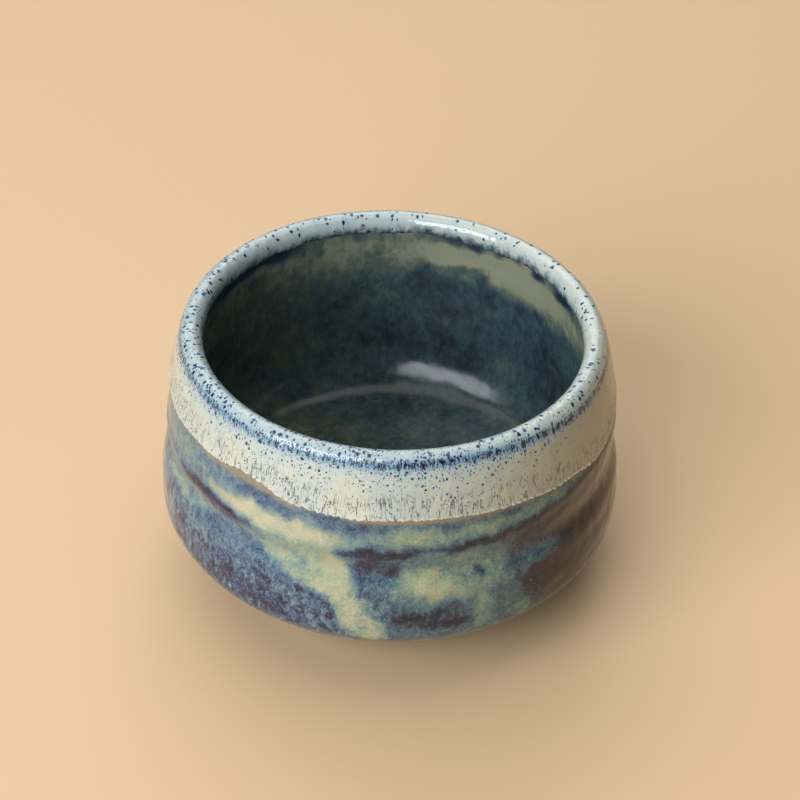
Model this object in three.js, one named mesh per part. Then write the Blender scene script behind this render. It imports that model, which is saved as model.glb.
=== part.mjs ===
// Matcha bowl: a footed tea bowl of thrown stoneware, in the order in which a potter builds it up.
//
//   clay_body    the thrown and trimmed clay, from the foot ring to the core of the lip
//   outer_glaze  the flowing glaze outside, from just above the foot to the crest of the lip
//   liner_glaze  the dark glaze poured inside, from the crest of the lip to the middle of the floor
//   rim_glaze    the thick pale glaze, dipped over the lip and the two coats under it
//
// The clay's outline is the master. Each coat is the outline below it, moved out by the thickness of
// the coat, so every coat lies face to face on what it was poured over. The coats are fired on, so
// nothing here moves. Millimetres, +Z up, and the origin is the middle of the foot's flat face.

import * as THREE from "three";

// Driving dimensions of the finished bowl, coats included.
const HEIGHT = 75; // table to the crest of the lip
const LIP_RADIUS = 55; // outside of the round lip
const LIP_THICKNESS = 6.2;
const BELLY_RADIUS = 61; // the widest place
const BELLY_HEIGHT = 27.5;
const WALL = 6.6; // the wall at the belly
const GROOVE_HEIGHT = 43; // the soft waist between the belly and the collar
const GROOVE_DEPTH = 2.7;
const FLOOR_HEIGHT = 12.2; // table to the glazed floor, in the middle

// The foot ring, trimmed out of the same clay and left bare.
const FOOT_RADIUS = 30.5; // outside, where it leaves the bowl
const FOOT_HEIGHT = 4.6;
const FOOT_WIDTH = 5.4;
const FOOT_TAPER = 0.5; // the ring narrows by this much on each side
const FOOT_CHAMFER = 0.7;
const RECESS_HEIGHT = 4.8; // table to the clay inside the ring

// Glaze.
const BASE_COAT = 0.6; // thickness of the glaze outside and of the liner
const RIM_COAT = 0.7; // thickness of the pale glaze on top of them
const EDGE_SHARE = 0.5; // the free edge of a coat has this share of its full thickness
const RIM_BAND = 17.4; // how far the pale glaze comes down outside
const RIM_TURN_IN = 5.6; // how far it comes down inside

// How finely the curves are cut.
const AROUND = 48; // flats round the bowl
const PER_SPAN = 2; // edges between two stations of a wall
const LIP_STEPS = 6; // edges over the lip, an even number so that one point is the crest

// --- The clay's outline: under the bowl, up the outside, over the lip and down the inside.

const point = (radius, height) => new THREE.Vector2(radius, height);

// A smooth line through stations, as points.
function smooth(stations) {
  return new THREE.SplineCurve(stations).getPoints(PER_SPAN * (stations.length - 1));
}

const lipCore = LIP_THICKNESS / 2 - BASE_COAT - RIM_COAT;
const lipMiddle = point(LIP_RADIUS - LIP_THICKNESS / 2, HEIGHT - LIP_THICKNESS / 2);

// From the middle of the recess to the outer root of the foot ring.
function foot() {
  const outer = FOOT_RADIUS;
  const inner = FOOT_RADIUS - FOOT_WIDTH;
  return [
    point(0, RECESS_HEIGHT),
    point(inner - FOOT_TAPER, RECESS_HEIGHT),
    point(inner, FOOT_CHAMFER),
    point(inner + FOOT_CHAMFER, 0),
    point(outer - FOOT_TAPER - FOOT_CHAMFER, 0),
    point(outer - FOOT_TAPER, FOOT_CHAMFER),
    point(outer, FOOT_HEIGHT),
  ];
}

// The low underside, the quick turn up into the belly, the waist, and the collar leaning in.
function outside() {
  const belly = BELLY_RADIUS - BASE_COAT;
  const waist = belly - GROOVE_DEPTH;
  return smooth([
    point(FOOT_RADIUS + 1.8, FOOT_HEIGHT + 0.7),
    point(belly - 18, FOOT_HEIGHT + 3.6),
    point(belly - 10.4, BELLY_HEIGHT - 16.2),
    point(belly - 3.6, BELLY_HEIGHT - 10),
    point(belly - 0.6, BELLY_HEIGHT - 5.8),
    point(belly, BELLY_HEIGHT),
    point(belly - 0.7, GROOVE_HEIGHT - 7),
    point(waist, GROOVE_HEIGHT - 1),
    point(waist + 0.6, GROOVE_HEIGHT + 5),
    point(belly - 3.3, HEIGHT - RIM_BAND),
    point(belly - 5, HEIGHT - 9),
    point(lipMiddle.x + lipCore, lipMiddle.y),
  ]);
}

// The core of the lip, without the two points that the walls already have.
function lip() {
  const turn = new THREE.EllipseCurve(lipMiddle.x, lipMiddle.y, lipCore, lipCore, 0, Math.PI);
  return turn.getPoints(LIP_STEPS).slice(1, -1);
}

// The wall widens below the lip and turns into the floor, which falls to a shallow pool.
function inside() {
  const belly = BELLY_RADIUS - WALL + BASE_COAT;
  const floor = FLOOR_HEIGHT - BASE_COAT;
  return smooth([
    point(lipMiddle.x - lipCore, lipMiddle.y),
    point(lipMiddle.x - lipCore + 0.1, HEIGHT - RIM_TURN_IN),
    point(belly - 3.6, HEIGHT - 15),
    point(belly - 1.5, HEIGHT - 29),
    point(belly, BELLY_HEIGHT + 5),
    point(belly - 1.7, BELLY_HEIGHT - 4),
    point(belly - 8.5, floor + 4.9),
    point(belly - 21, floor + 1.8),
    point(17, floor + 0.8),
    point(0, floor),
  ]);
}

const footPoints = foot();
const outsidePoints = outside();
const clay = [...footPoints, ...outsidePoints, ...lip(), ...inside()];
const crest = footPoints.length + outsidePoints.length - 1 + LIP_STEPS / 2;

// --- The coats.

// An outline moved out, square to itself, by a thickness that may change from point to point.
function raised(outline, thickness) {
  const last = outline.length - 1;
  return outline.map((here, i) => {
    const along = outline[Math.min(i + 1, last)].clone().sub(outline[Math.max(i - 1, 0)]).normalize();
    if (here.x === 0) along.set(-1, 0); // in the middle of the floor a coat grows straight up
    return point(here.x + along.y * thickness(i), here.y - along.x * thickness(i));
  });
}

// The section of a coat: out along its free surface, and back along the surface below it. It closes
// on itself, unless it ends on the axis.
function section(below, free) {
  const loop = [...below.slice().reverse(), ...free];
  return below[below.length - 1].x === 0 ? loop : [...loop, loop[0]];
}

// The base glaze starts on the first point of the wall, just clear of the foot.
const dipped = clay.slice(footPoints.length);
const dippedCrest = crest - footPoints.length;
const glazed = raised(dipped, (i) => (i === 0 ? EDGE_SHARE : 1) * BASE_COAT);

// The rim glaze lies between two stations of that surface, one on each side of the crest.
const bandEdge = dipped.findIndex((p) => p.y > HEIGHT - RIM_BAND - 0.01);
const turnIn = dipped.findIndex((p, i) => i > dippedCrest && p.y < HEIGHT - RIM_TURN_IN + 0.01);
const underRim = glazed.slice(bandEdge, turnIn + 1);
const lastRim = underRim.length - 1;
const rim = raised(underRim, (i) => (i === 0 || i === lastRim ? EDGE_SHARE : 1) * RIM_COAT);

// --- Turning the sections.

function turned(name, outline, color, roughness) {
  const geometry = new THREE.LatheGeometry(outline, AROUND).rotateX(Math.PI / 2);
  const material = new THREE.MeshStandardMaterial({ color, roughness, metalness: 0 });
  const mesh = new THREE.Mesh(geometry, material);
  mesh.name = name;
  return mesh;
}

const outerSection = section(dipped.slice(0, dippedCrest + 1), glazed.slice(0, dippedCrest + 1));
const linerSection = section(dipped.slice(dippedCrest), glazed.slice(dippedCrest));

const bowl = new THREE.Group();
bowl.name = "matcha_bowl";
bowl.add(
  turned("clay_body", clay, 0x9a7f66, 0.85),
  turned("outer_glaze", outerSection, 0x7c8a86, 0.25),
  turned("liner_glaze", linerSection, 0x2c3a44, 0.2),
  turned("rim_glaze", section(underRim, rim), 0xd6d2c2, 0.2),
);

export default bowl;
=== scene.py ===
# %% [markdown]
# # A matcha bowl
#
# A matcha bowl is thrown on a wheel from one lump of stoneware clay, trimmed underneath until a foot
# ring stands out, and then glazed three times: a dark glaze is poured inside, a flowing blue and cream
# glaze outside, and the lip is dipped in a thick pale glaze. In the kiln the three glazes melt into
# each other, and that is where nearly all of the bowl's character comes from.
#
# This notebook makes the bowl as four pieces: the bare clay, the outer glaze, the liner and the rim
# glaze. Each is a surface of two parameters, worked out with numpy: how far round the bowl, and how
# far along its outline. Every glaze is a real skin with a thickness, lying on what is under it.

import math

import bpy
import numpy as np
from mathutils import Matrix, Vector


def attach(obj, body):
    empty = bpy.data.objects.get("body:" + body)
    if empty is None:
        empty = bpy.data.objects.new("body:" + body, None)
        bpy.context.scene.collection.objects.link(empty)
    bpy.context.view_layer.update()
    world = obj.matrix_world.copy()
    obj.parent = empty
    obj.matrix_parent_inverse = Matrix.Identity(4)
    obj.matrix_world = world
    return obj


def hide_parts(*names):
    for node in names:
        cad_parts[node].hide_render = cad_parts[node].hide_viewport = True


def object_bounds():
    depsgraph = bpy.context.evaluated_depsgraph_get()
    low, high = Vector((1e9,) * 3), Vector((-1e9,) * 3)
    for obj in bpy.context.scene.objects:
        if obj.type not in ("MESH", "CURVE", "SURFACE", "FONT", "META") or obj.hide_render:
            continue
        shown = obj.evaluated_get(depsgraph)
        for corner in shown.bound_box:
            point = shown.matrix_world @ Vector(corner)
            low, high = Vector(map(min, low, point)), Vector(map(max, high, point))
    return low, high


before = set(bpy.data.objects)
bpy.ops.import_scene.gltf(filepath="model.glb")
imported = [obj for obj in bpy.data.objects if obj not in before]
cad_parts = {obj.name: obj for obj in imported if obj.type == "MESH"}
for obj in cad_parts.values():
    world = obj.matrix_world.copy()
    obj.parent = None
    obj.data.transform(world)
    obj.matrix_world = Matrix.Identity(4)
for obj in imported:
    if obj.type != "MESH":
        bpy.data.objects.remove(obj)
cad_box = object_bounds()
MM = 0.001
HEIGHT = cad_box[1][2] / MM
print("height", round(HEIGHT, 2), "mm, nodes", sorted(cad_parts))

# %% [markdown]
# ## The camera
#
# The camera comes first, so that every later step can be looked at. It stands in front of the bowl and
# above it, a little under 60 cm away, with a long lens: high enough to see into the bowl, and far
# enough for the rim to stay an even ellipse. A very small roll makes the view look held by hand.

# %% Camera
def look(target, elevation, distance, roll):
    """A camera matrix. The camera lies from the target along (0, -cos e, sin e) times the distance;
    its right and up axes are turned about that line by the roll."""
    back = Vector((0.0, -math.cos(elevation), math.sin(elevation)))
    up = Vector((0.0, math.sin(elevation), math.cos(elevation)))
    right = Vector((1.0, 0.0, 0.0))
    across = right * math.cos(roll) + up * math.sin(roll)
    upward = up * math.cos(roll) - right * math.sin(roll)
    matrix = Matrix((across, upward, back)).transposed().to_4x4()
    matrix.translation = target + back * distance
    return matrix


LENS, SENSOR = 99.0, 36.0
LOOKED_AT = Vector((2.17, 0.0, HEIGHT - 25.2)) * MM
ELEVATION, DISTANCE, ROLL = math.radians(37.98), 577.8 * MM, math.radians(1.83)
camera = bpy.data.objects.new("camera", bpy.data.cameras.new("camera"))
camera.data.lens = LENS
camera.data.sensor_width = SENSOR
camera.matrix_world = look(LOOKED_AT, ELEVATION, DISTANCE, ROLL)
bpy.context.scene.collection.objects.link(camera)
bpy.context.scene.camera = camera
print("camera at", [round(x, 3) for x in camera.matrix_world.translation])

# %% [markdown]
# ## Floor and light
#
# Glaze is glass, so what it mirrors matters as much as its colour. One large window stands at the front
# left and gives the long cool highlight on the lip. A ceiling lamp and a lamp behind keep the shadows
# soft, and the right side is left dim, so that the bowl looks round. The floor is one plain pale, warm
# sheet, which the belly mirrors.

# %% Floor, lamps and sky
def linear(red, green, blue, alpha=1.0):
    """A screen colour (0 to 255) as linear light: c / 12.92 if dark, else ((c + .055) / 1.055)^2.4."""
    c = np.array([red, green, blue]) / 255.0
    c = np.where(c <= 0.04045, c / 12.92, ((c + 0.055) / 1.055) ** 2.4)
    return (*c.tolist(), alpha)


BOWL_MIDDLE = Vector((0.0, 0.0, 0.04))


def lamp(name, place, size, power, colour):
    """A rectangular lamp at a place in metres, turned to face the middle of the bowl. The power is in
    watts."""
    data = bpy.data.lights.new(name, "AREA")
    data.shape = "RECTANGLE"
    data.size, data.size_y = size
    data.energy = power
    data.color = linear(*colour)[:3]
    lamp_object = bpy.data.objects.new(name, data)
    lamp_object.location = place
    aim = BOWL_MIDDLE - Vector(place)
    lamp_object.rotation_euler = aim.to_track_quat("-Z", "Y").to_euler()
    bpy.context.scene.collection.objects.link(lamp_object)


lamp("window", (-0.86, -1.14, 0.86), (1.45, 1.1), 34.0, (240, 246, 255))
lamp("ceiling", (-0.2, 0.3, 1.7), (2.2, 2.2), 19.0, (255, 250, 242))
lamp("behind", (-0.3, 1.5, 1.3), (2.0, 1.4), 14.5, (246, 249, 255))

sky = bpy.data.worlds.new("sky")
sky.use_nodes = True
sky_light = sky.node_tree.nodes["Background"]
sky_light.inputs["Color"].default_value = linear(232, 236, 242)
sky_light.inputs["Strength"].default_value = 0.03
bpy.context.scene.world = sky
bpy.context.scene.view_settings.view_transform = "Standard"

FLOOR_CORNERS = [(-4, -4, 0), (4, -4, 0), (4, 4, 0), (-4, 4, 0)]
floor_mesh = bpy.data.meshes.new("floor")
floor_mesh.from_pydata(FLOOR_CORNERS, [], [(0, 1, 2, 3)])
floor = bpy.data.objects.new("floor", floor_mesh)
bpy.context.scene.collection.objects.link(floor)
floor_paint = bpy.data.materials.new("pale floor")
floor_paint.use_nodes = True
floor_shader = floor_paint.node_tree.nodes["Principled BSDF"]
floor_shader.inputs["Base Color"].default_value = linear(224, 190, 148)
floor_shader.inputs["Roughness"].default_value = 0.6
floor_mesh.materials.append(floor_paint)
print("floor and 3 lamps")

# %% [markdown]
# ## The outline
#
# A thrown pot is one outline turned about the wheel's axis. The outline below belongs to the clay,
# in millimetres: out along the low underside, up round the belly, in at the waist, up the collar, over
# the lip, and down the inside to the middle of the floor. A smooth curve runs through the stations,
# and a light blur takes the last kinks out, as a wet sponge does on the wheel.
#
# Distance along the outline is called `run`. It is 0 on the crest of the lip, grows going down the
# outside, and is negative inside. A glaze is then just a stretch of `run` with a thickness.

# %% The clay's outline as a table over `run`
BASE_COAT = 0.6
RIM_COAT = 0.7
SPONGE, FOOT_SPONGE = 0.7, 0.22
FOOT = [(0, 4.8), (24.6, 4.8), (25.1, 0.7), (25.8, 0), (29.3, 0), (30, 0.7), (30.5, 4.6)]
OUTSIDE = [
    (32.3, 5.3), (42.4, 8.2), (50.0, 11.3), (56.8, 17.5), (59.8, 21.7), (60.4, 27.5),
    (59.7, 36.0), (57.7, 42.0), (58.3, 48.0), (57.1, 57.6), (55.4, 66.0), (53.7, 71.9),
]
LIP_MIDDLE, LIP_CORE = (51.9, 71.9), 1.8
INSIDE = [
    (50.1, 71.9), (50.2, 69.4), (51.4, 60.0), (53.5, 46.0), (55.0, 32.5),
    (53.3, 23.5), (46.5, 16.5), (34.0, 13.4), (17.0, 12.4), (0.0, 11.6),
]


def through(stations, steps=40):
    """A smooth curve through stations. Between two of them it is the cubic whose slope at each station
    is half the step from the station before to the one after."""
    p = np.pad(np.array(stations, float), ((1, 1), (0, 0)), mode="edge")
    a, b, c, d = (p[i : len(p) - 3 + i, None, :] for i in range(4))
    t = np.linspace(0, 1, steps, endpoint=False)[None, :, None]
    m, n = (c - a) / 2, (d - b) / 2
    curve = b + m * t + (3 * (c - b) - 2 * m - n) * t**2 + (2 * (b - c) + m + n) * t**3
    return np.vstack([curve.reshape(-1, 2), p[-2]])


def evenly(points, step):
    """The same line with its points a fixed step apart along it."""
    along = np.r_[0, np.cumsum(np.hypot(*np.diff(points, axis=0).T))]
    marks = np.arange(0, along[-1], step)
    return np.column_stack([np.interp(marks, along, points[:, k]) for k in (0, 1)])


def sponged(points, step, reach):
    """A line blurred along itself by a bell curve `reach` wide. It goes on straight past its ends."""
    half = int(4 * reach / step)
    bell = np.exp(-0.5 * (np.arange(-half, half + 1) * step / reach) ** 2)
    wide = np.pad(points, ((half, half), (0, 0)), mode="reflect", reflect_type="odd")
    return np.column_stack([np.convolve(wide[:, k], bell / bell.sum(), "valid") for k in (0, 1)])


STEP = 0.05
turn = np.linspace(0, math.pi, 60)[:, None]
lip_arc = np.array(LIP_MIDDLE) + LIP_CORE * np.hstack([np.cos(turn), np.sin(turn)])
outline = np.vstack([through(OUTSIDE)[:-1], lip_arc, through(INSIDE)[1:]])
outline = sponged(evenly(outline, STEP), STEP, SPONGE)
crest = outline[:, 1].argmax()
run_table = (crest - np.arange(len(outline))) * STEP
RUN_FOOT, RUN_FLOOR = run_table[0], run_table[-1]
slope = np.gradient(outline, axis=0)
slope /= np.hypot(*slope.T)[:, None]
square_to = np.column_stack([slope[:, 1], -slope[:, 0]])
print("run from", round(RUN_FOOT, 1), "mm at the foot to", round(RUN_FLOOR, 1), "mm at the floor")


def on_outline(run, lift):
    """Radius and height of points a distance `lift` off the clay, square to it, at each `run`."""
    order = slice(None, None, -1)
    table = [column[order] for column in (*outline.T, *square_to.T)]
    radius, height, out, up = (np.interp(run, run_table[order], column) for column in table)
    return np.maximum(radius + out * lift, 0.0), height + up * lift


def run_at_drop(drop):
    """The `run` of the place on the outside that is `drop` mm below the crest."""
    return np.interp(drop, HEIGHT - outline[:crest, 1][::-1], run_table[:crest][::-1])


# %% [markdown]
# ## Clouds
#
# Hand-made things vary softly. The variation used here is value noise: random numbers on the corners
# of a grid of cubes, smoothly blended in between. Because it is evaluated at points in space, it closes
# round the bowl with no seam.

# %% Soft random fields
TABLE = np.random.default_rng(1522).random((64, 64, 64))


def cloud(points, size, offset=0.0, octaves=3):
    """Value noise between 0 and 1. Each point takes the mean of the 8 random corners of its cube,
    weighted by 3 t^2 - 2 t^3 of how near it is. Each further octave halves the cubes and the weight."""
    total, weight = 0.0, 0.0
    for octave in range(octaves):
        q = points / size * 2.0**octave + offset + 17.3 * octave
        base = np.floor(q).astype(int)
        t = q - base
        t = t * t * (3 - 2 * t)
        value = 0.0
        for corner in np.ndindex(2, 2, 2):
            share = np.prod(np.where(corner, t, 1 - t), axis=-1)
            i, j, k = np.moveaxis((base + corner) % 64, -1, 0)
            value = value + share * TABLE[i, j, k]
        total = total + value * 0.5**octave
        weight += 0.5**octave
    return total / weight


def rise(x, start, end):
    """0 before start, 1 after end, and 3 t^2 - 2 t^3 in between."""
    t = np.clip((x - start) / (end - start), 0, 1)
    return t * t * (3 - 2 * t)


def round_the_bowl(angle, stops):
    """A value for every angle, from (degrees, value) stops, eased between them, right round."""
    degrees, values = np.array(stops, float).T
    order = np.argsort(degrees)
    degrees, values = degrees[order], values[order]
    degrees = np.r_[degrees[-1] - 360, degrees, degrees[0] + 360]
    values = np.r_[values[-1], values, values[0]]
    a = (np.degrees(angle) + 180) % 360 - 180
    i = np.clip(np.searchsorted(degrees, a) - 1, 0, len(degrees) - 2)
    t = rise(a, degrees[i], degrees[i + 1])
    return values[i] * (1 - t) + values[i + 1] * t


# %% [markdown]
# ## Turning a surface into a mesh
#
# Every piece is a grid: rows along its outline and columns round the bowl. The last column joins the
# first. A glaze's rows join up too, because its section is a closed loop; the clay and the liner
# end on the axis instead, where a fan of triangles closes the pole.

# %% Grid to mesh
def columns(count):
    """Angles round the bowl, as one row."""
    return np.linspace(-math.pi, math.pi, count, endpoint=False)[None, :]


def turned(angle, radius, height):
    """Points (radius cos a, radius sin a, height), in mm."""
    return np.stack(np.broadcast_arrays(radius * np.cos(angle), radius * np.sin(angle), height), -1)


def piece(name, points, finish, nodes, fields=None, poles=False):
    """A mesh from a grid of points in mm. Quads join each point to the next in its row and column;
    with poles, the first and the last row are single points on the axis, joined by triangles. Fields
    are stored at the points, for the finish to read."""
    rows, count = points.shape[:2]
    index = np.arange(rows * count).reshape(rows, count)
    if poles:
        index[0], index[-1] = index[0, 0], index[-1, 0]
    below = index if not poles else index[:-1]
    above = np.roll(index, -1, axis=0) if not poles else index[1:]
    quads = np.stack([below, np.roll(below, -1, 1), np.roll(above, -1, 1), above], -1).reshape(-1, 4)
    flat = points.reshape(-1, 3)
    used, packed = np.unique(quads, return_inverse=True)
    packed = packed.reshape(quads.shape)
    first = packed[:, 0] == packed[:, 1]
    last = packed[:, 2] == packed[:, 3]
    faces = packed[~first & ~last].tolist()
    faces += packed[first][:, 1:].tolist() + packed[last][:, :3].tolist()
    mesh = bpy.data.meshes.new(name)
    mesh.from_pydata((flat[used] * MM).tolist(), [], faces)
    mesh.polygons.foreach_set("use_smooth", np.ones(len(mesh.polygons), bool))
    for field, values in (fields or {}).items():
        if values.ndim == 3:
            attribute = mesh.attributes.new(field, "FLOAT_VECTOR", "POINT")
            attribute.data.foreach_set("vector", values.reshape(-1, 3)[used].ravel().astype("f"))
        else:
            attribute = mesh.attributes.new(field, "FLOAT", "POINT")
            full = np.broadcast_to(values, (rows, count)).reshape(-1)
            attribute.data.foreach_set("value", full[used].astype("f"))
    mesh.materials.append(finish)
    made = bpy.data.objects.new(name, mesh)
    bpy.context.scene.collection.objects.link(made)
    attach(made, "root")
    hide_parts(*nodes)
    print(name, len(faces), "faces, from", np.round(flat.min(0), 2), "to", np.round(flat.max(0), 2))


# %% [markdown]
# ## Mixing a finish
#
# All four finishes are made from nodes, because a glaze has detail at every size. `Finish` is a short
# way to write a node tree: each call adds one node and gives back its output. Anything that is the
# same all over goes straight onto the shader.

# %% A helper that writes node trees
class Finish:
    """A material under construction. Inputs take a number, a colour or another node's output."""

    def __init__(self, name, **constants):
        self.material = bpy.data.materials.new(name)
        self.material.use_nodes = True
        self.tree = self.material.node_tree
        self.shader = self.tree.nodes["Principled BSDF"]
        for socket, value in constants.items():
            self.shader.inputs[self.socket_name(socket)].default_value = value

    def socket_name(self, word):
        return word.replace("_", " ").title().replace("Ior", "IOR")

    def add(self, kind, inputs, **settings):
        node = self.tree.nodes.new("ShaderNode" + kind)
        for setting, value in settings.items():
            setattr(node, setting, value)
        for key, value in inputs.items():
            self.feed(node.inputs[key], value)
        return node

    def feed(self, socket, value):
        if isinstance(value, bpy.types.NodeSocket):
            self.tree.links.new(value, socket)
        else:
            socket.default_value = value

    def field(self, name, kind="Fac"):
        """A field that the piece's mesh carries."""
        return self.add("Attribute", {}, attribute_name=name).outputs[kind]

    def place(self):
        """The point's own place on the piece, in mm."""
        return self.stretched(self.add("TexCoord", {}).outputs["Object"], 1000, 1000, 1000)

    def math(self, work, a, b=0.0):
        return self.add("Math", {0: a, 1: b}, operation=work).outputs[0]

    def stretched(self, vector, x, y, z):
        """The vector times (x, y, z): larger numbers give a finer pattern that way."""
        return self.add("VectorMath", {0: vector, 1: (x, y, z)}, operation="MULTIPLY").outputs[0]

    def shaken(self, vector, size, reach):
        """The vector pushed about by noise, so that round things come out ragged."""
        noise = self.add("TexNoise", {"Vector": vector, "Scale": size, "Detail": 2.0})
        push = self.add("VectorMath", {0: noise.outputs["Color"], 1: (0.5,) * 3}, operation="SUBTRACT")
        push = self.add("VectorMath", {0: push.outputs[0], "Scale": reach}, operation="SCALE")
        return self.add("VectorMath", {0: vector, 1: push.outputs[0]}, operation="ADD").outputs[0]

    def noise(self, vector, size=1.0, detail=3.0, rough=0.55, twist=0.0):
        """Soft noise between 0 and 1; rough makes its fine octaves stronger, and twist curls it."""
        inputs = {"Vector": vector, "Scale": size, "Detail": detail, "Roughness": rough}
        return self.add("TexNoise", {**inputs, "Distortion": twist}).outputs["Fac"]

    def cells(self, vector, size=1.0):
        """Distance to the nearest of many scattered seeds, and that seed's own random number."""
        node = self.add("TexVoronoi", {"Vector": vector, "Scale": size})
        own = self.add("SeparateColor", {0: node.outputs["Color"]}).outputs[0]
        return node.outputs["Distance"], own

    def rise(self, value, start, end, low=0.0, high=1.0):
        """Low at start and before, high at end and after, 3 t^2 - 2 t^3 in between."""
        inputs = {0: value, 1: start, 2: end, 3: low, 4: high}
        return self.add("MapRange", inputs, interpolation_type="SMOOTHSTEP").outputs[0]

    def ramp(self, value, stops):
        """Colours along a value from 0 to 1, from (position, (red, green, blue)) stops."""
        node = self.add("ValToRGB", {0: value})
        marks = node.color_ramp.elements
        while len(marks) < len(stops):
            marks.new(0.5)
        for mark, (position, colour) in zip(marks, stops):
            mark.position, mark.color = position, linear(*colour)
        return node.outputs[0]

    def mix(self, share, a, b):
        """Colour a with a share of colour b laid over it."""
        a, b = (linear(*c) if isinstance(c, tuple) else c for c in (a, b))
        return self.add("Mix", {0: share, 6: a, 7: b}, data_type="RGBA").outputs[2]

    def bump(self, height, depth, under=None):
        """Fine relief, in metres for a height of 1, on top of the relief under it."""
        inputs = {"Height": height, "Distance": depth, "Strength": 1.0}
        if under is not None:
            inputs["Normal"] = under
        return self.add("Bump", inputs).outputs[0]

    def coat_with(self, **sockets):
        """Links values to the shader's sockets, and gives the finished material."""
        for socket, value in sockets.items():
            self.feed(self.shader.inputs[self.socket_name(socket)], value)
        print(self.material.name, "has", len(self.tree.nodes), "nodes")
        return self.material


# %% [markdown]
# ## The hand in it
#
# Nothing thrown is quite round or quite level. One small movement, the same for all four pieces so that
# they stay in touch, makes the bowl a touch oval and lets the lip dip on one side.

# %% One wobble for every piece
def by_hand(points, angle):
    """Radius times 1 - 0.2% (1 + cos 2(a - 40 deg)), height times 1 - 0.2% (1 + cos(a + 60 deg))."""
    oval = 1 - 0.002 * (1 + np.cos(2 * (angle - math.radians(40))))
    dip = 1 - 0.002 * (1 + np.cos(angle + math.radians(60)))
    return points * np.stack(np.broadcast_arrays(oval, oval, dip), -1)


def skin(angle, run, lift):
    """The points of a surface that lies `lift` off the clay along the given stretch of `run`."""
    radius, height = on_outline(run, lift)
    return by_hand(turned(angle, radius, height), angle)


# distance along the finished surface, for every `run` of the outline's table
radius, height = on_outline(run_table, BASE_COAT + RIM_COAT)
arc_table = -np.r_[0, np.cumsum(np.hypot(np.diff(radius), np.diff(height)))]
arc_table -= arc_table[crest]


def arc(run):
    """Distance from the crest along the finished surface, which is longer than `run` over the lip."""
    return np.interp(run, run_table[::-1], arc_table[::-1])


print("the lip is", round(float(arc(4.0)), 1), "mm of surface for 4 mm of run")

# %% [markdown]
# ## Rim glaze: where it ends
#
# The bowl was dipped upside down, a little unevenly, so the pale glaze comes down further on the right
# than on the left. As it melted it crept down in hundreds of tiny tongues. The dip line is a few
# heights round the bowl; the tongues are the humps of a sine, whose spacing and size noise disturbs.

# %% The dip line and its tongues
# degrees round, mm below the crest
DIP_LINE = [
    (-180, 15.8), (-158, 15.5), (-142, 15.1), (-127, 13.3), (-113, 16.3), (-98, 17.2), (-80, 16.9),
    (-60, 17.6), (-43, 18.7), (-27, 20.6), (-10, 19.2), (15, 17.4), (48, 15.9), (84, 17.9),
    (120, 16.3), (150, 17.1),
]
BROAD_TONGUES, FINE_TONGUES, INNER_TONGUES = 171, 319, 143
LIP_RADIUS = 55.0


def circle(angle):
    """Points on a circle as wide as the lip, to read noise from."""
    return turned(angle, LIP_RADIUS, 0.0)


def tongues(angle, count, size, offset):
    """size * |sin(count a / 2 + noise)|: rounded tips hanging down, with sharp gaps between them."""
    drift = 8.0 * cloud(circle(angle), 6.0, offset)
    return size * np.abs(np.sin(angle * count / 2 + drift))


def dip_drop(angle):
    """The dip line itself, wandering a little."""
    return round_the_bowl(angle, DIP_LINE) + 1.1 * (cloud(circle(angle), 11.0, 8.7) - 0.5)


def rim_drop(angle):
    """How far below the crest the pale glaze ends outside, in mm: the dip line plus its tongues."""
    size = 0.08 + 1.0 * cloud(circle(angle), 5.0, 3.1) ** 2
    broad, fine = tongues(angle, BROAD_TONGUES, 1.0, 5.5), tongues(angle, FINE_TONGUES, 0.22, 1.7)
    return dip_drop(angle) + broad * size + fine


def rim_turn_in(angle):
    """How far inside the crest, along the run, the pale glaze ends."""
    return 3.8 + 2.6 * cloud(circle(angle), 8.0, 2.2) + tongues(angle, INNER_TONGUES, 0.35, 9.1)


RIM_COLUMNS = 1280
rim_angle = columns(RIM_COLUMNS)
print("rim ends", np.round([rim_drop(rim_angle).min(), rim_drop(rim_angle).max()], 1), "mm down")

# %% [markdown]
# ## Rim glaze: its body
#
# The section of the rim glaze is a long thin loop: over the lip along its free face, and back along the
# glaze below it, sunk into that by a hair so that no gap shows. Its free edge is a quarter round with
# a slightly thicker bead behind it, which is how a stiff glaze stops.

# %% Rim glaze shape
def rounded(distance, width):
    """A quarter round: sqrt(1 - (1 - d)^2) for d = distance / width up to 1, and flat after that."""
    return np.sqrt(1 - (1 - np.clip(distance / width, 0, 1)) ** 2)


def eased_rows(count):
    """Numbers from 0 to 1, closer together near both ends: v - 0.09 sin(2 pi v)."""
    v = np.linspace(0, 1, count)[:, None]
    return v - 0.09 * np.sin(2 * math.pi * v)


SUNK = 0.06
RIM_ROWS, RIM_BACK_ROWS = 64, 8
RIM_BODY, RIM_SWELL = 0.56, 0.16
BEAD, BEAD_BACK, BEAD_WIDTH = 0.16, 1.2, 0.9
EDGE_ROUND, INNER_EDGE_ROUND = 0.8, 1.3
run_out, run_in = run_at_drop(rim_drop(rim_angle)), -rim_turn_in(rim_angle)
rim_run = run_out + (run_in - run_out) * eased_rows(RIM_ROWS)
to_edge, to_inner_edge = run_out - rim_run, rim_run - run_in
edge_round = rounded(to_edge, EDGE_ROUND)
bead = BEAD * np.exp(-(((to_edge - BEAD_BACK) / BEAD_WIDTH) ** 2))
swell = RIM_SWELL * (cloud(skin(rim_angle, rim_run, 1.0), 9.0, 4.4) - 0.5)
rim_lift = (RIM_BODY + swell) * edge_round * rounded(to_inner_edge, INNER_EDGE_ROUND)
rim_lift += bead * edge_round
under_run = run_in + (run_out - run_in) * np.linspace(0, 1, RIM_BACK_ROWS)[:, None]
rim_runs = np.vstack([rim_run, under_run])
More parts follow.
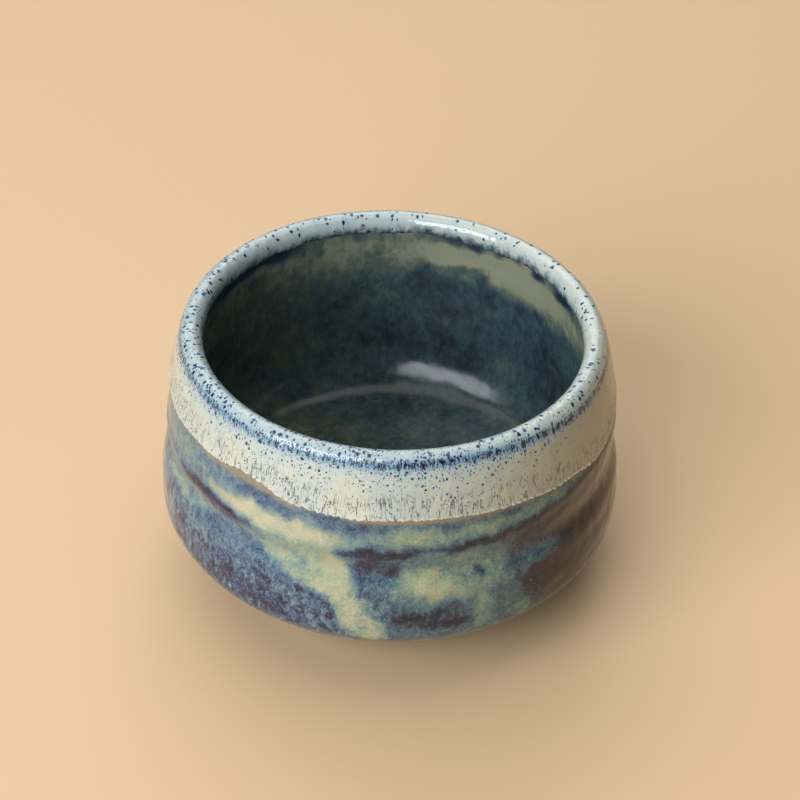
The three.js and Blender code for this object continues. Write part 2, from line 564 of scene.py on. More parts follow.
rim_lifts = BASE_COAT + np.vstack([rim_lift, np.full_like(under_run, -SUNK)])
rim_points = skin(rim_angle, rim_runs, rim_lifts)
print("rim glaze at most", round(float(rim_lift.max()), 2), "mm thick over the coats below")

# %% [markdown]
# ## Rim glaze: what it tells its finish
#
# The dip was thickest low down and at the front left, and it broke where the shoulder of the lip pushes
# through it. The mesh carries this as fields, one number for each point: how pitted and how speckled
# the glaze is, where it is broken, how near it is to either edge, where a warm, darker tint is painted
# on the right as painted reflection of the floor and painted shade, and how azure along the top. On the
# right the break is also made stronger, as painted shade. Each is a table down the rim times a table
# round it. A last field, `flow`, is the place on the unrolled skin, so that pits and strokes can be
# drawn out down the flow.

# %% Rim glaze fields
SPECKLED_ROUND = [
    (-180, 0.85), (-150, 0.85), (-110, 0.9), (-72, 1.0), (-50, 0.85), (-30, 0.55), (-8, 0.5),
    (30, 0.4), (70, 0.4), (110, 0.45), (150, 0.6),
]
PITTED_ROUND = [
    (-180, 0.95), (-150, 1.0), (-110, 0.95), (-72, 0.95), (-50, 0.9), (-30, 0.85), (0, 0.8), (40, 0.65),
    (90, 0.7), (130, 0.75), (155, 0.9),
]
AZURE_ROUND = [(-180, 1.0), (-75, 1.0), (-40, 0.2), (0, 0.1), (60, 0.3), (120, 0.8)]
# From about -50 to 0 degrees the break is made stronger: a dark line on the right of the lip that is
# partly the break itself and partly painted shade.
BREAK_AND_SHADE_ROUND = [
    (-180, 0.8), (-150, 0.85), (-128, 0.85), (-112, 0.8), (-97, 0.95), (-75, 1.0), (-50, 0.95),
    (-28, 1.0), (0, 0.9), (40, 0.6), (100, 0.5), (150, 0.7),
]
# where the break runs: degrees round, mm of surface below the crest
BREAK_MIDDLE = [
    (-180, 4.0), (-95, 3.7), (-72, 3.3), (-52, 3.8), (-30, 5.0), (0, 5.0), (60, 4.2), (120, 4.0),
]
BREAK_BELOW, BREAK_ABOVE = 1.75, 1.05
# mm of surface below the crest, and how speckled and how pitted the glaze is there
DOWN_THE_RIM = [-8, -4, -1.5, 1, 2.5, 4, 6, 8, 10, 13, 22]
SPECKLED_DOWN = [0.15, 0.4, 0.6, 0.7, 0.95, 1.0, 0.85, 0.66, 0.52, 0.44, 0.42]
PITTED_DOWN = [0.15, 0.6, 0.95, 1.0, 0.8, 0.55, 0.45, 0.34, 0.26, 0.16, 0.1]
EDGE_REACH, INNER_EDGE_REACH = 10.0, 4.2
FLOW_RADIUS = 54

rim_arc = arc(rim_runs)
rim_degrees = np.degrees(rim_angle)
from_break = rim_arc - round_the_bowl(rim_angle, BREAK_MIDDLE)
from_break = from_break / np.where(from_break > 0, BREAK_BELOW, BREAK_ABOVE)
on_the_right = rise(rim_degrees, -100, -35) * rise(rim_degrees, 60, 0)
at_the_back = np.zeros_like(under_run)
speckled = np.interp(rim_arc, DOWN_THE_RIM, SPECKLED_DOWN)
pitted = np.interp(rim_arc, DOWN_THE_RIM, PITTED_DOWN)
rim_fields = {
    "flow": turned(rim_angle, FLOW_RADIUS, rim_arc),
    "speckled": speckled * round_the_bowl(rim_angle, SPECKLED_ROUND),
    "pitted": pitted * round_the_bowl(rim_angle, PITTED_ROUND),
    "broken": np.exp(-(from_break**2)) * round_the_bowl(rim_angle, BREAK_AND_SHADE_ROUND),
    "edge": rise(np.vstack([to_edge, at_the_back]), EDGE_REACH, 0.0),
    "inner_edge": rise(np.vstack([to_inner_edge, at_the_back]), INNER_EDGE_REACH, 0.0),
    # Painted warm reflection of the floor and painted shade on the right side of the rim glaze.
    "warm_reflection_and_shade": on_the_right * rise(rim_arc, 2, 8),
    "azure": rise(rim_arc, 10, 4) * round_the_bowl(rim_angle, AZURE_ROUND),
}
print("fields on the rim glaze:", ", ".join(rim_fields))

# %% [markdown]
# ## Rim glaze: its finish
#
# Grey cream, full of small crawled pits where the blue glaze below shows through. A pit's middle is
# nearly black, its wall navy, and a pale azure ring surrounds it, so one value per point is enough: how
# deep into a pit it is, read through a colour ramp. The pits are scattered cells of three sizes, drawn
# out along the flow. Over the shoulder of the lip the glaze is thin, and tears into upright strokes
# that are read through the same ramp, with a touch of brown in the deepest.
#
# The body between them is grey cream, with a warmer, darker tint on the right that is painted
# reflection of the floor and painted shade, and washed with azure round the strokes. Dark threads,
# which are the places where noise passes through its middle value, run down to the edge, the tips of
# the tongues are whiter, and the dark liner soaks into the edge inside.

# %% Rim glaze finish: pits, strokes and threads
PIT_COLOURS = [
    (0.0, (140, 172, 182)), (0.28, (94, 144, 172)), (0.5, (40, 82, 122)), (0.72, (24, 44, 78)),
    (0.96, (16, 22, 38)),
]
CREAM = [(0.35, (184, 194, 187)), (0.5, (195, 201, 189)), (0.66, (201, 203, 184))]
# The first colour on the next line is painted warm reflection of the floor and painted shade, for the
# right side of the rim.
WARM_REFLECTION_AND_SHADE, TIP_WHITE, GRAIN_GREY = (156, 150, 118), (220, 221, 210), (158, 166, 160)
AZURE, BREAK_BLUE, BREAK_BROWN = (154, 181, 192), (96, 142, 172), (44, 34, 30)
THREAD_GREY, SOAKED_GREY, SOAKED_DARK = (54, 64, 72), (104, 124, 130), (36, 50, 64)


def rim_pits(f, ragged, crowd, width, length, share, grow):
    """How deep into a pit, from 0 to 1. There is one seed for each cell, and those whose own number is
    above 1 - share * crowd open: the further above, the wider, up to grow of a cell."""
    distance, own = f.cells(f.stretched(ragged, 1 / width, 1 / width, 1 / length))
    rare = f.math("SUBTRACT", 1.0, f.math("MULTIPLY", crowd, share))
    size = f.rise(own, rare, f.math("ADD", rare, 0.45), 0.0, grow)
    inside = f.rise(distance, size, f.math("MULTIPLY", size, 0.25))
    return f.math("MULTIPLY", inside, f.rise(size, 0.02, 0.2))


def rim_strokes(f, ragged, broken):
    """Noise drawn out along the flow, and how torn it is: its threshold falls as the break nears."""
    strokes = f.noise(f.stretched(ragged, 2.2, 2.2, 0.32), detail=3.0)
    start = f.math("SUBTRACT", 0.67, f.math("MULTIPLY", broken, 0.28))
    end = f.math("SUBTRACT", 0.85, f.math("MULTIPLY", broken, 0.29))
    return strokes, f.math("MULTIPLY", f.rise(strokes, start, end), f.rise(broken, 0.1, 0.5))


def rim_threads(f, flow, edge):
    """Thin lines where |noise - 0.5| is near 0, cut into dashes, stronger towards the edge."""
    lines = f.noise(f.stretched(f.shaken(flow, 0.7, 0.5), 1.15, 1.15, 0.16), detail=2.0)
    lines = f.rise(f.math("ABSOLUTE", f.math("SUBTRACT", lines, 0.5)), 0.04, 0.008)
    dashes = f.rise(f.noise(f.stretched(flow, 1.4, 1.4, 0.5), detail=2.0), 0.4, 0.52)
    return f.math("MULTIPLY", f.math("MULTIPLY", lines, dashes), f.rise(edge, 0.02, 0.45, 0.0, 0.8))


# %% Rim glaze finish: the body, and all of it together
def rim_body(f, flow, broken, edge, strokes):
    """The cream between the pits, with each stain laid over the one before, and on the right a warm,
    darker tint that is painted reflection and painted shade.
    """
    body = f.ramp(f.noise(f.stretched(flow, 0.16, 0.16, 0.1), detail=3.0), CREAM)
    # A warm, darker tint on the right: painted reflection of the floor and painted shade.
    body = f.mix(f.math("MULTIPLY", f.field("warm_reflection_and_shade"), 0.75), body, WARM_REFLECTION_AND_SHADE)
    body = f.mix(f.math("MULTIPLY", f.field("azure"), 0.55), body, AZURE)
    grain = f.noise(f.stretched(flow, 4.0, 4.0, 0.8), detail=2.0)
    body = f.mix(f.rise(grain, 0.35, 0.7, 0.0, 0.3), body, GRAIN_GREY)
    body = f.mix(f.rise(edge, 0.95, 0.995, 0.0, 0.8), body, TIP_WHITE)
    wash = f.math("MULTIPLY", f.rise(broken, 0.12, 0.9, 0.0, 0.8), f.rise(strokes, 0.2, 0.5))
    body = f.mix(wash, body, BREAK_BLUE)
    blotch = f.math("SUBTRACT", f.noise(f.stretched(flow, 0.5, 0.5, 0.45), detail=3.0), 0.5)
    soaked = f.math("ADD", f.field("inner_edge"), f.math("MULTIPLY", blotch, 1.5))
    body = f.mix(f.rise(soaked, 0.25, 0.8, 0.0, 0.75), body, SOAKED_GREY)
    return f.mix(f.rise(soaked, 0.6, 1.15, 0.0, 0.92), body, SOAKED_DARK)


def rim_finish():
    f = Finish("rim glaze", roughness=0.1, ior=1.66)
    flow = f.field("flow", "Vector")
    pitted, speckled, broken, edge = (f.field(n) for n in ("pitted", "speckled", "broken", "edge"))
    ragged = f.shaken(f.shaken(flow, 1.3, 0.9), 3.5, 0.35)
    large = rim_pits(f, ragged, pitted, 1.45, 1.9, 1.1, 0.45)
    middle = rim_pits(f, ragged, speckled, 0.8, 1.15, 0.9, 0.47)
    small = rim_pits(f, ragged, speckled, 0.45, 0.75, 1.0, 0.47)
    strokes, torn = rim_strokes(f, ragged, broken)
    threads = rim_threads(f, flow, edge)
    depth = f.math("MAXIMUM", f.math("MAXIMUM", large, f.math("MULTIPLY", middle, 0.95)), torn)
    depth = f.math("MAXIMUM", depth, f.math("MULTIPLY", small, 0.6))

    brown = f.rise(f.noise(f.stretched(flow, 0.6, 0.6, 0.5), detail=2.0), 0.48, 0.6)
    brown = f.math("MULTIPLY", brown, f.rise(broken, 0.3, 0.9, 0.0, 0.5))
    brown = f.math("MULTIPLY", brown, f.rise(depth, 0.6, 0.9))
    pit = f.mix(brown, f.ramp(depth, PIT_COLOURS), BREAK_BROWN)
    body = f.mix(threads, rim_body(f, flow, broken, edge, strokes), THREAD_GREY)
    colour = f.mix(f.rise(depth, 0.02, 0.3), body, pit)

    ripple = f.bump(f.noise(f.stretched(flow, 0.22, 0.22, 0.2), detail=1.0), 0.00045)
    surface = f.bump(f.math("SUBTRACT", 1.0, f.math("MAXIMUM", depth, threads)), 0.00008, ripple)
    gloss = f.rise(depth, 0.0, 1.0, 0.08, 0.22)
    return f.coat_with(base_color=colour, roughness=gloss, normal=surface)


piece("rim_glaze_coat", rim_points, rim_finish(), ["rim_glaze"], rim_fields)

# %% [markdown]
# ## Outer glaze: shape
#
# The fingers that pulled the wall up left a faint spiral, and the glaze softened it. Where the collar
# meets the waist there is a low ridge that climbs towards the right. The glaze ends just above the foot
# in a thick rolled edge, wandering in and out, because a potter wipes the foot clean by hand.

# %% Outer glaze shape
# degrees round, mm below the crest
RIDGE_LINE = [
    (-180, 27.0), (-150, 27.2), (-120, 27.8), (-95, 27.3), (-60, 25.2), (-30, 22.6), (0, 23.8),
    (60, 26.5), (120, 28.0),
]
RIDGE, RIDGE_WIDTH = 0.28, 1.6
OUTER_COLUMNS, OUTER_ROWS, OUTER_BACK_ROWS = 650, 122, 28
SPIRAL, SPIRAL_RISE = 0.07, 7.5
ROLL, ROLL_BACK, ROLL_WIDTH, FOOT_EDGE_ROUND = 0.25, 1.4, 1.0, 0.9


def ridge_nearness(angle, drop, width):
    """A bell of the distance to the ridge line: exp(-(drop - ridge)^2 / width^2)."""
    return np.exp(-(((drop - round_the_bowl(angle, RIDGE_LINE)) / width) ** 2))


outer_angle = columns(OUTER_COLUMNS)
foot_edge = RUN_FOOT - 0.5 - 2.4 * cloud(circle(outer_angle), 16.0, 6.6)
outer_run = foot_edge * (1 - eased_rows(OUTER_ROWS))
outer_drop = HEIGHT - on_outline(outer_run, BASE_COAT)[1]
outer_place = skin(outer_angle, outer_run, BASE_COAT)
spiral = np.sin(2 * math.pi * outer_drop / SPIRAL_RISE - outer_angle)
shaped = rise(outer_drop, 14, 20) * rise(outer_drop, 66, 58)
relief = shaped * (SPIRAL * spiral - SPIRAL + 0.22 * (cloud(outer_place, 11.0, 1.1) - 0.75))
relief += RIDGE * ridge_nearness(outer_angle, outer_drop, RIDGE_WIDTH)
roll = ROLL * np.exp(-(((foot_edge - outer_run - ROLL_BACK) / ROLL_WIDTH) ** 2))
outer_lift = (BASE_COAT + relief + roll) * rounded(foot_edge - outer_run, FOOT_EDGE_ROUND)
back_run = foot_edge * np.linspace(0, 1, OUTER_BACK_ROWS)[:, None]
outer_lifts = np.vstack([outer_lift, np.full_like(back_run, -SUNK)])
outer_points = skin(outer_angle, np.vstack([outer_run, back_run]), outer_lifts)
print("outer glaze at most", round(float(outer_lift.max()), 2), "mm thick")

# %% [markdown]
# ## Outer glaze: the painting that the kiln did
#
# A reactive glaze has one rule: its colour follows its thickness. Where it runs thin it breaks to brown
# and purple, then it turns slate blue, then grey green, and where it pools it is cream. So the pattern
# is stored as one field, `tone`, from 0 for thin to 1 for thick, and a colour ramp does the rest, with
# blue seams round every cream cloud for free.
#
# The clouds and breaks are laid on like brush marks: each is an ellipse on the unrolled wall, with a
# place (degrees round, mm below the crest), a half width and half height in mm, and a tilt. Noise
# pushes their outlines about. The back of the bowl is left to noise alone.

# %% Brush marks: what they are
# tone, degrees round, mm down, half width, half height, tilt (falling to the right), softness
MARKS = [
    (0.56, -151, 20.6, 24, 5.0, 0, 0.6),  # haze under the rim, far left
    (0.41, -121, 18.6, 11, 1.5, 0, 0.5),
    (0.37, -97, 19.3, 9, 2.2, 8, 0.5),  # blue under the rim, middle
    # Thin glaze on the right, darkened further as painted shade and painted reflection of the brown
    # floor:
    (0.08, -26, 41.0, 29, 16.0, 0, 0.3),  # thin, dark right side
    (0.16, -40, 29.0, 20, 4.2, -3, 0.5),
    (0.56, -73, 31.0, 13, 4.5, 0, 0.5),  # grey green haze, middle
    (0.33, -126, 46.0, 30, 9.5, 4, 0.3),  # mottled belly, left
    (0.44, -138, 38.8, 14, 2.6, 0, 0.6),
    (0.40, -112, 43.0, 14, 3.0, 32, 0.6),
    (0.17, -141, 28.2, 15, 1.8, 0, 0.45),  # thin on the ridge, left
    (0.54, -151, 31.5, 12, 1.7, 0, 0.6),
    (0.74, -156, 35.3, 11, 1.4, -3, 0.6),  # pale streak, far left
    (0.60, -143, 33.2, 7, 1.3, -18, 0.5),
    (0.46, -129, 32.8, 7, 2.6, 0, 0.5),
    (0.76, -136, 23.3, 6, 1.9, 0, 0.5),
    (0.93, -118.5, 24.3, 17.5, 3.4, 2, 0.42),  # long cream cloud on the collar
    (0.68, -111.5, 30.6, 11.5, 4.0, 4, 0.45),  # the cloud below the ridge
    (0.70, -112, 36.2, 13, 2.3, 20, 0.5),  # slanting olive streak
    (0.82, -104.5, 33.5, 7.5, 4.8, 60, 0.45),  # cream falling from it
    (0.85, -101.5, 37.5, 6.5, 3.4, 75, 0.45),
    (0.82, -97.5, 44.8, 4.6, 4.2, 60, 0.45),
    (0.80, -94, 49.6, 5.5, 4.1, 68, 0.4),
    (0.13, -92.5, 27.3, 9, 1.5, 0, 0.45),  # dark corner under the ridge
    (0.27, -91.5, 31.8, 6.0, 4.4, 0, 0.4),
    (0.43, -92.3, 39.5, 3.5, 5.5, 0, 0.4),  # blue channel
    (0.42, -86.5, 44.5, 4.5, 2.6, 20, 0.5),
    (0.65, -74.5, 37.2, 14.5, 4.6, 0, 0.35),  # middle cloud
    (0.84, -79.5, 36.8, 5.8, 3.0, 15, 0.6),  # its cream heart
    (0.26, -66, 35.2, 1.5, 1.7, 0, 0.5),  # a blue eye in it
    (0.31, -78.5, 47.2, 10.5, 3.4, -4, 0.6),  # slate pool below it
    (0.16, -81, 45.9, 6.5, 1.1, -8, 0.6),
    (0.18, -73, 49.4, 7.0, 1.2, 3, 0.6),
    (0.62, -66.3, 47.0, 2.6, 8.5, 0, 0.5),  # green drip
    (0.58, -54.5, 51.0, 3.0, 2.5, 0, 0.6),
    (0.42, -51, 36.5, 9.0, 2.6, 0, 0.8),
    (0.60, -51, 21.2, 13, 1.6, -4, 0.45),  # olive strip on the right
    (0.62, -84, 22.4, 11, 2.8, 0, 0.4),
    (0.80, -85, 22.7, 4.0, 1.7, 0, 0.7),  # cream spot under the rim
    (0.66, -68, 22.3, 5.5, 2.1, 0, 0.5),
    (0.38, -59, 19.5, 3.5, 1.3, 0, 0.5),
]


# %% Brush marks: laying them on the wall
WALL_RADIUS = 59


def mark_cover(angle, drop, degrees, middle, half_width, half_height, tilt, soft):
    """1 inside an ellipse on the unrolled wall and 0 outside, eased from 1 - soft to 1 + soft of its
    size."""
    x = WALL_RADIUS * np.radians((np.degrees(angle) - degrees + 180) % 360 - 180)
    y = drop - middle
    c, s = math.cos(math.radians(tilt)), math.sin(math.radians(tilt))
    reach = np.hypot((x * c + y * s) / half_width, (y * c - x * s) / half_height)
    return rise(reach, 1 + soft, 1 - soft)


def painted(angle, drop, place):
    """The tone of the wall: noise all round, and on the front each mark laid over what is there."""
    across = 5.0 * (cloud(place, 6.0, 2.9) - 0.5) + 1.5 * (cloud(place, 1.9, 3.9) - 0.5)
    along = 3.6 * (cloud(place, 4.5, 7.3) - 0.5) + 1.5 * (cloud(place, 1.7, 8.3) - 0.5)
    a, d = angle + across / WALL_RADIUS, drop + along
    flat = place * [1, 1, 1.7]
    wild = 0.47 + 1.5 * (cloud(flat, 17.0, 4.7) - 0.5) + 0.5 * (cloud(flat, 6.0, 0.9) - 0.5)
    wild -= 0.25 * rise(drop, 36, 46)
    ridge = ridge_nearness(a, d, 1.3) * rise(cloud(place, 20.0, 5.8), 0.3, 0.5)
    tone = np.clip(wild, 0.06, 0.98) * (1 - 0.8 * ridge) + 0.06 * ridge
    here = rise(np.degrees(angle), -178, -168) * rise(np.degrees(angle), 6, -12)
    front = np.full_like(tone, 0.46)
    for mark_tone, *ellipse in MARKS:
        cover = mark_cover(a, d, *ellipse)
        front = front * (1 - cover) + mark_tone * cover
    line = ridge_nearness(a, d, 1.1) * rise(np.degrees(angle), -92, -70)
    front = front * (1 - 0.85 * line) + 0.06 * line
    patchy = 0.3 * (cloud(place * [1, 1, 0.8], 2.6, 5.2) - 0.5)
    return np.clip(tone * (1 - here) + front * here + patchy, 0, 1)


tone = painted(outer_angle, outer_drop, outer_place)
print("tone from", round(float(tone.min()), 2), "to", round(float(tone.max()), 2))

# %% [markdown]
# ## Outer glaze: where it behaves differently
#
# The flame reaches one side of a bowl before the other. So four slower fields go with `tone`: how green
# the glaze fired (the left is blue, the right grey green), how mottled it is, how rusty where it runs
# thin, and where a tan line of bare base glaze shows just under the dip line. The rust is partly the
# glaze's own and partly painted reflection of the brown floor and painted shade, so it is strongest on
# the right and low down.

# %% Outer glaze fields
GREEN_ROUND = [
    (-180, 0.2), (-120, 0.15), (-98, 0.4), (-84, 0.85), (-60, 1.0), (0, 0.9), (90, 0.4), (140, 0.6),
]
MOTTLED_ROUND = [(-180, 0.9), (-96, 1.0), (-84, 0.0), (20, 0.1), (90, 0.7), (150, 0.6)]
# The glaze's own rust together with painted reflection of the brown floor and painted shade, most on
# the right.
RUST_AND_SHADE_ROUND = [
    (-180, 0.4), (-140, 0.5), (-110, 0.15), (-80, 0.1), (-58, 0.35), (-40, 0.8), (20, 0.75),
    (90, 0.4), (150, 0.3),
]
TAN_WIDTH_ROUND = [
    (-175, 0.4), (-150, 0.4), (-138, 1.0), (-127, 2.2), (-117, 1.0), (-106, 0.0), (-92, 0.7),
    (-78, 1.0), (-66, 0.9), (-56, 0.4), (-40, 0.1), (0, 0.2), (40, 1.3), (80, 0.3), (120, 1.0),
    (150, 0.2),
]
tan_width = round_the_bowl(outer_angle, TAN_WIDTH_ROUND)
tan_width = tan_width + 0.7 * (cloud(circle(outer_angle), 6.0, 6.1) - 0.5)
under_rim = outer_drop - dip_drop(outer_angle) - 0.3
tan = rise(under_rim, tan_width + 0.7, tan_width - 0.3) * rise(tan_width, 0.0, 0.5)
mottled = 0.4 + 0.6 * rise(outer_drop, 34, 42) * round_the_bowl(outer_angle, MOTTLED_ROUND)
mottled = mottled * (1 - 0.7 * rise(tone, 0.6, 0.85))
# More brown low down and on the right: partly the glaze's own rust, partly painted reflection of the
# brown floor and painted shade.
rust_and_shade = round_the_bowl(outer_angle, RUST_AND_SHADE_ROUND) + 0.35 * rise(outer_drop, 40, 52)


def with_back(field):
    """The field's rows, and its last row again for the hidden face below the coat."""
    return np.vstack([field, np.repeat(field[-1:], len(back_run), 0)])


green = round_the_bowl(outer_angle, GREEN_ROUND) + np.zeros_like(tone)
outer_fields = {
    "tone": tone, "tan": tan, "mottled": mottled, "rust_and_shade": np.clip(rust_and_shade, 0, 0.85), "green": green,
}
outer_fields = {name: with_back(field) for name, field in outer_fields.items()}
print("fields on the outer glaze:", ", ".join(outer_fields))

# %% [markdown]
# ## Outer glaze: its finish
#
# The finish adds what is too fine for the mesh: mottles a millimetre or two long where the glaze is
# breaking, a fibrous grain everywhere, and a few tiny white dots. Mottle and grain push the tone up and
# down before it is read through its ramp, so they come out in the glaze's own colours. There are two
# ramps, for glaze that fired blue and glaze that fired green.

# %% Outer glaze finish
BLUE_FIRED = [
    (0.0, (28, 24, 32)), (0.14, (40, 37, 57)), (0.28, (55, 62, 92)), (0.42, (81, 105, 133)),
    (0.55, (105, 133, 143)), (0.68, (132, 153, 141)), (0.82, (162, 168, 142)), (1.0, (192, 187, 162)),
]
GREEN_FIRED = [
    (0.0, (26, 23, 26)), (0.14, (36, 34, 44)), (0.28, (48, 56, 70)), (0.42, (68, 92, 102)),
    (0.55, (92, 118, 116)), (0.68, (122, 140, 118)), (0.82, (156, 160, 126)), (1.0, (186, 180, 148)),
]
# The first colour here is rust, which also paints the reflection of the brown floor and the shade.
RUST_AND_SHADE, PALE_FIBRE, TAN, SPARK = (56, 38, 28), (178, 192, 196), (152, 138, 106), (222, 222, 226)


def outer_finish():
    f = Finish("outer glaze", roughness=0.1, ior=1.5)
    place = f.place()
    drawn = f.stretched(f.shaken(place, 0.5, 1.6), 1.0, 1.0, 0.72)
    mottle = f.noise(drawn, 0.68, detail=4.0, rough=0.66, twist=0.5)
    fibres = f.noise(f.shaken(place, 0.9, 1.6), 1.9, detail=3.0, rough=0.7, twist=1.2)
    strength = f.math("MULTIPLY", f.field("mottled"), 1.35)
    tone = f.math("ADD", f.field("tone"), f.math("MULTIPLY", f.math("SUBTRACT", mottle, 0.5), strength))
    tone = f.math("ADD", tone, f.math("MULTIPLY", f.math("SUBTRACT", fibres, 0.5), 0.8))
    colour = f.mix(f.field("green"), f.ramp(tone, BLUE_FIRED), f.ramp(tone, GREEN_FIRED))
    # Rust where the glaze is thin, which is also painted reflection of the brown floor and painted
    # shade on the right and low down.
    rust_and_shade_share = f.rise(f.noise(f.stretched(place, 1, 1, 0.5), 0.3, detail=2.0), 0.45, 0.65)
    rust_and_shade_share = f.math("MULTIPLY", rust_and_shade_share, f.math("MULTIPLY", f.rise(tone, 0.34, 0.05), f.field("rust_and_shade")))
    colour = f.mix(rust_and_shade_share, colour, RUST_AND_SHADE)
    colour = f.mix(f.rise(fibres, 0.6, 0.78, 0.0, 0.25), colour, PALE_FIBRE)
    colour = f.mix(f.math("MULTIPLY", f.field("tan"), 0.75), colour, TAN)
    distance, own = f.cells(place, 0.3)
    sparks = f.math("MULTIPLY", f.rise(distance, 0.055, 0.03), f.rise(own, 0.5, 0.54))
    colour = f.mix(f.math("MULTIPLY", sparks, 0.8), colour, SPARK)
    surface = f.bump(f.noise(place, 0.16, detail=1.0), 0.0005)
    surface = f.bump(mottle, 0.00003, surface)
    gloss = f.rise(tone, 0.0, 0.9, 0.09, 0.14)
    return f.coat_with(base_color=colour, roughness=gloss, normal=surface)


piece("outer_glaze_coat", outer_points, outer_finish(), ["outer_glaze"], outer_fields)

# %% [markdown]
# ## Liner: shape
#
# Inside, the last pull of the fingers left faint rings that wind down to the bottom. The skin starts
# and ends on the axis, so it is closed by a pole on either face.

# %% Liner shape
LINER_COLUMNS, LINER_ROWS, LINER_BACK_ROWS = 560, 130, 30
RING, RING_WIDTH = 0.05, 8.2
liner_angle = columns(LINER_COLUMNS)
face_run = RUN_FLOOR * np.linspace(0, 1, LINER_ROWS)[:, None]
liner_radius = on_outline(face_run, BASE_COAT)[0]
rings = np.sin(2 * math.pi * arc(face_run) / RING_WIDTH + liner_angle)
fade = rise(face_run, -8, -16) * rise(liner_radius, 2, 9)
liner_lift = BASE_COAT + fade * (RING * rings - 0.02)
liner_lift = liner_lift + 0.12 * fade * (cloud(skin(liner_angle, face_run, BASE_COAT), 12.0, 3.7) - 0.5)
hidden_run = RUN_FLOOR * np.linspace(1, 0, LINER_BACK_ROWS)[:, None]
liner_runs = np.vstack([hidden_run, face_run])
liner_lifts = np.vstack([np.full((LINER_BACK_ROWS, LINER_COLUMNS), -SUNK), liner_lift])
liner_points = skin(liner_angle, liner_runs, liner_lifts)
liner_points[[0, -1], :, :2] = 0
liner_points[[0, -1], :, 2] = liner_points[[0, -1], :1, 2]
print("liner at most", round(float(liner_lift.max()), 2), "mm thick")

# %% [markdown]
# ## Liner: what it tells its finish
#
# Two fields: `tone` again, which is cloudy, pale olive high up at the back and a little lighter on the
# left, where painted light lifts the shade of the inside, and `navy`, a fringe of blue that hangs down
# from under the rim glaze by different lengths.

# %% Liner fields
PALE_ROUND = [
    (-180, 0.05), (-90, 0.15), (-20, 0.2), (25, 0.5), (50, 1.0), (72, 1.0), (92, 0.3), (150, 0.1),
]
# Painted light: the inside is lighter on the left, where it faces away from the window and lies in
# shade.
PAINTED_LEFT_LIGHT_ROUND = [(-180, 1.0), (-130, 0.8), (-60, 0.0), (90, 0.0), (140, 0.8)]
liner_depth = HEIGHT - on_outline(liner_runs, BASE_COAT)[1]
liner_place = skin(liner_angle, liner_runs, BASE_COAT)
hanging = liner_place * [1, 1, 0.3]
clouds = cloud(liner_place * [1, 1, 1.5], 12.0, 6.3) + 0.5 * (cloud(liner_place, 4.0, 1.3) - 0.5)
fringe = 5.0 + 3.5 * cloud(hanging, 4.5, 2.4)
pale = (0.2 + 0.8 * round_the_bowl(liner_angle, PALE_ROUND)) * rise(liner_depth, 24, 12)
navy = rise(liner_depth, fringe + 3, fringe) * rise(cloud(hanging, 13.0, 8.8), 0.3, 0.6)
liner_tone = 0.16 + (0.4 * clouds + 0.64 * pale * rise(clouds, 0.0, 0.45)) * (1 - navy)
liner_tone = liner_tone - 0.06 * rise(liner_depth, 18, 40) + 0.12 * rise(liner_depth, 57, 62.5)
# Painted light on the left inside, over the shade there.
liner_tone += 0.2 * round_the_bowl(liner_angle, PAINTED_LEFT_LIGHT_ROUND)
print("liner tone from", round(float(liner_tone.min()), 2), "to", round(float(liner_tone.max()), 2))

# %% [markdown]
# ## Liner: its finish
#
# The same family of glaze, but fired much darker: a ramp from charcoal through teal grey to olive, with
# the navy fringe laid over it, a fine grain, and a softer gloss than outside. A few sparks again.

# %% Liner finish
DARK_FIRED = [
    (0.0, (30, 34, 36)), (0.12, (38, 46, 52)), (0.24, (48, 64, 70)), (0.38, (62, 84, 88)),
    (0.55, (92, 104, 92)), (0.8, (146, 146, 122)),
]
LINER_FIBRE, NAVY, LINER_SPARK = (110, 136, 144), (26, 42, 68), (200, 206, 214)


def liner_finish():
    f = Finish("liner glaze", roughness=0.1, ior=1.5)
    place = f.place()
    mottle = f.noise(f.stretched(f.shaken(place, 0.5, 1.5), 1, 1, 0.5), 0.5, detail=4.0, twist=0.6)
    fibres = f.noise(f.shaken(place, 0.9, 1.5), 2.2, detail=3.0, rough=0.7, twist=1.0)
    tone = f.math("ADD", f.field("tone"), f.math("MULTIPLY", f.math("SUBTRACT", mottle, 0.5), 0.55))
    tone = f.math("ADD", tone, f.math("MULTIPLY", f.math("SUBTRACT", fibres, 0.5), 0.18))
    colour = f.mix(f.rise(fibres, 0.6, 0.8, 0.0, 0.15), f.ramp(tone, DARK_FIRED), LINER_FIBRE)
    fringed = f.math("ADD", f.field("navy"), f.math("MULTIPLY", f.math("SUBTRACT", mottle, 0.5), 0.9))
    colour = f.mix(f.rise(fringed, 0.2, 0.9, 0.0, 0.9), colour, NAVY)
    distance, own = f.cells(place, 0.25)
    sparks = f.math("MULTIPLY", f.rise(distance, 0.05, 0.03), f.rise(own, 0.7, 0.74))
    colour = f.mix(f.math("MULTIPLY", sparks, 0.6), colour, LINER_SPARK)
    surface = f.bump(f.noise(place, 0.12, detail=1.0), 0.0003)
    gloss = f.rise(mottle, 0.3, 0.7, 0.17, 0.25)
    return f.coat_with(base_color=colour, roughness=gloss, normal=surface)


liner_fields = {"tone": liner_tone, "navy": navy}
piece(
    "liner_glaze_coat", liner_points, liner_finish(), ["liner_glaze"], liner_fields,
    poles=True,
)

# %% [markdown]
# ## Clay: shape
#
# Only the foot shows. It was cut with a loop tool while the bowl turned upside down on the wheel, so
# the recess inside the ring carries a fine spiral that runs out into a small nub, and the ring's edges
# are softened with a wet finger so that it doesn't scratch the table.

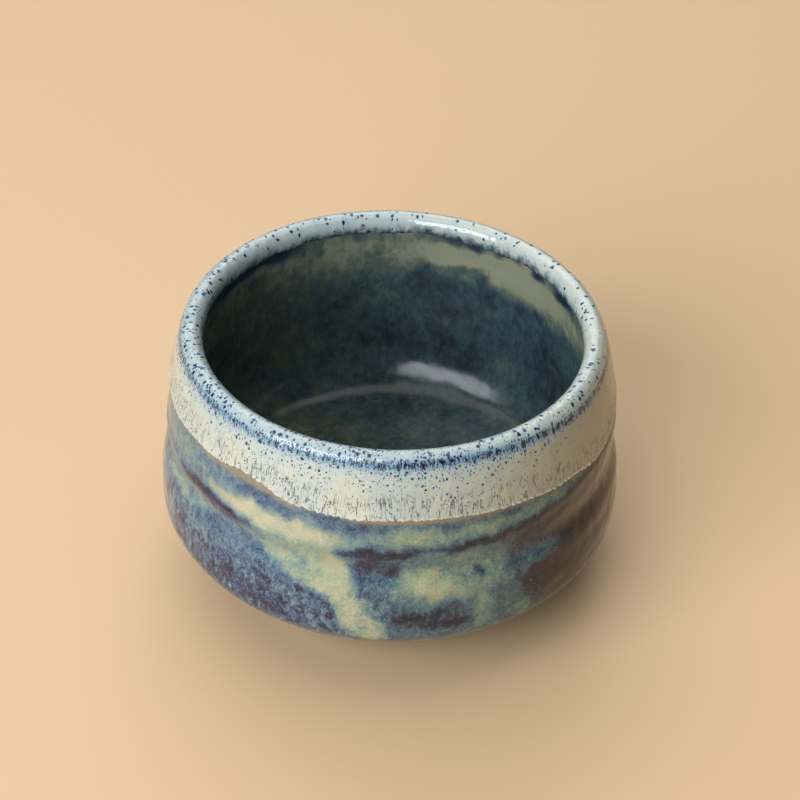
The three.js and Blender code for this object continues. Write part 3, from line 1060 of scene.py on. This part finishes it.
# %% Clay shape
CLAY_COLUMNS, WALL_ROWS, FOOT_EVERY = 420, 90, 6
GROOVE, GROOVE_WIDTH = 0.08, 1.9
NUB, NUB_WIDTH = 0.5, 3.2
clay_angle = columns(CLAY_COLUMNS)
foot_line = sponged(evenly(np.array(FOOT + OUTSIDE[:1], float), STEP), STEP, FOOT_SPONGE)
foot_line[0, 0] = 0.0
foot_line = foot_line[::FOOT_EVERY]
foot_radius, foot_base = foot_line[:, :1], foot_line[:, 1:]
trimmed = (foot_radius < 23.5) & (foot_radius > 1.0)
groove = np.where(trimmed, np.sin(2 * math.pi * foot_radius / GROOVE_WIDTH + clay_angle), 0.0)
nub = NUB * np.exp(-((foot_radius / NUB_WIDTH) ** 2))
foot_height = foot_base + GROOVE * groove * rise(foot_radius, 1, 5) - nub
foot_points = by_hand(turned(clay_angle, foot_radius, np.maximum(foot_height, 0.0)), clay_angle)
wall_run = np.linspace(RUN_FOOT, RUN_FLOOR, WALL_ROWS)[1:, None]
wall_points = skin(clay_angle, wall_run, 0.0)
wall_points[-1] = wall_points[-1, :1] * [0, 0, 1]
clay_points = np.vstack([foot_points, wall_points])
clay_points[0] = clay_points[0, :1] * [0, 0, 1]
print("clay:", len(foot_points), "rows under the foot and", len(wall_points), "over the wall")

# %% [markdown]
# ## Clay: its finish
#
# Bare stoneware: a warm grey brown body with sand in it, iron specks, and a toasted orange line where
# the clay meets the glaze. It is dry and rough, which sets off the gloss of the glaze.

# %% Clay finish
STONEWARE = [(0.35, (150, 122, 96)), (0.65, (176, 148, 118))]
SAND, TOASTED, IRON = (122, 98, 76), (150, 88, 48), (58, 40, 32)


def clay_finish():
    f = Finish("bare stoneware", roughness=0.85, ior=1.45)
    place = f.place()
    broad = f.noise(place, 0.12, detail=3.0)
    sand = f.noise(place, 2.4, detail=3.0, rough=0.7)
    colour = f.mix(f.rise(sand, 0.4, 0.65, 0.0, 0.4), f.ramp(broad, STONEWARE), SAND)
    colour = f.mix(f.math("MULTIPLY", f.field("toasted"), 0.75), colour, TOASTED)
    distance, own = f.cells(place, 0.8)
    specks = f.math("MULTIPLY", f.rise(distance, 0.16, 0.08), f.rise(own, 0.8, 0.86))
    colour = f.mix(f.math("MULTIPLY", specks, 0.85), colour, IRON)
    dryness = f.rise(sand, 0.3, 0.7, 0.75, 0.95)
    return f.coat_with(base_color=colour, roughness=dryness, normal=f.bump(sand, 0.00012))


clay_radius = np.hypot(clay_points[:, :, 0], clay_points[:, :, 1])
clay_fields = {"toasted": rise(clay_radius, 30.6, 32.0)}
piece("clay_body_bare", clay_points, clay_finish(), ["clay_body"], clay_fields, poles=True)
